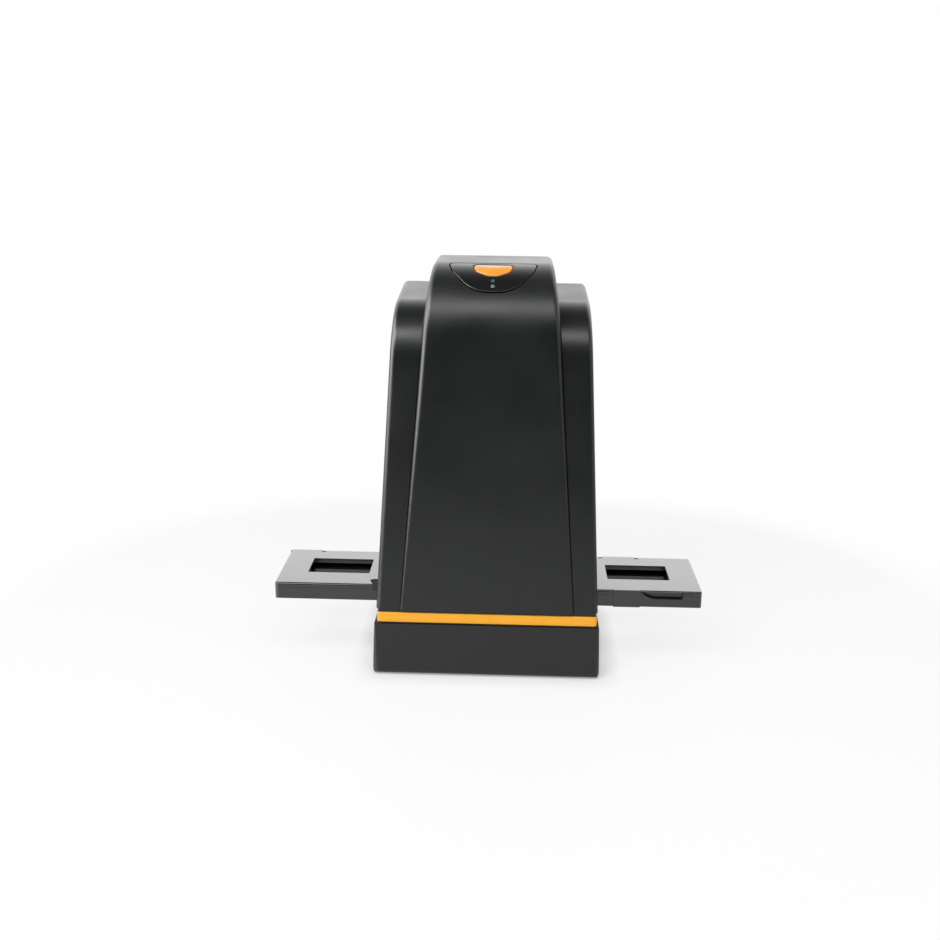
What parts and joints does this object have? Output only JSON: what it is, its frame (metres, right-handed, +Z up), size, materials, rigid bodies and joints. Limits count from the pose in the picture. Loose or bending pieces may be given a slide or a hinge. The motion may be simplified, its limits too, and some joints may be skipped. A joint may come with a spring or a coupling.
{
  "type": "film negative scanner",
  "caption": "Upright slide and film negative scanner with a stepped tapering tower, a coloured trim ring, a round-bottomed scan button and a windowed slide holder that slides through its base.",
  "frame": {"origin": "on the table, under the middle of the closed machine", "axes": "+X towards the machine's right-hand side as seen from the front, along the slide holder; -Y out of the front with the scan button; +Z up"},
  "size_m": [0.23, 0.0996, 0.2165],
  "materials": {
    "casing_black": "fine-spark textured black ABS with a low satin sheen",
    "panel_black": "smoother satin black ABS",
    "trim_orange": "satin orange moulded plastic",
    "button_orange": "semi-gloss orange moulded plastic",
    "holder_black": "satin black moulded plastic",
    "inner_black": "dead matt black moulded plastic",
    "barrel_black": "black anodised turned aluminium",
    "foot_rubber": "matt black rubber",
    "screw_steel": "zinc plated steel",
    "spring_steel": "bright rolled spring steel",
    "light_pipe": "clear moulded light pipe",
    "led_white": "yellow phosphor cap of a white light-emitting diode",
    "reflector_white": "bright white reflective plastic",
    "diffuser_opal": "opal acrylic",
    "lens_glass": "coated optical glass",
    "sensor_glass": "glazed image sensor package",
    "board_green": "green solder mask on glass-fibre laminate",
    "chip_black": "moulded epoxy",
    "plunger_white": "natural acetal",
    "ribbon_tan": "polyimide flat cable"
  },
  "bodies": {
    "tower": {"base_pan": "casing_black", "rubber_feet": "foot_rubber", "base_screws": "screw_steel", "trim_ring": "trim_orange", "left_casing": "casing_black", "right_casing": "casing_black", "centre_cover": "casing_black", "rear_cover": "casing_black", "button_panel": "panel_black", "led_window": "light_pipe", "button_board": "board_green", "button_board_screws": "screw_steel", "tact_switch": "chip_black", "power_led": "led_white", "backlight_housing": "reflector_white", "backlight_board": "reflector_white", "backlight_leds": "led_white", "diffuser_plate": "diffuser_opal", "film_gate": "inner_black", "gate_screws": "screw_steel", "detent_spring": "spring_steel", "light_tunnel": "inner_black", "tunnel_screws": "screw_steel", "lens_holder": "inner_black", "lens_barrel": "barrel_black", "lens_elements": "lens_glass", "sensor_board": "board_green", "image_sensor": "sensor_glass", "sensor_screws": "screw_steel", "main_board": "board_green", "board_chips": "chip_black", "board_screws": "screw_steel", "usb_socket": "spring_steel", "sensor_ribbon": "ribbon_tan", "backlight_ribbon": "ribbon_tan"},
    "slide_holder": {"holder_base": "holder_black", "holder_lid": "holder_black"},
    "scan_key": {"scan_button": "button_orange", "switch_plunger": "plunger_white"}
  },
  "joints": [
    {"name": "holder_travel", "type": "slide", "parent": "tower", "child": "slide_holder", "axis": [1, 0, 0], "range_m": [-0.168, 0.168]},
    {"name": "button_press", "type": "slide", "parent": "tower", "child": "scan_key", "axis": [0, 0.3987, -0.9171], "range_m": [0, 0.0008], "stiffness_N_per_m": 400}
  ]
}
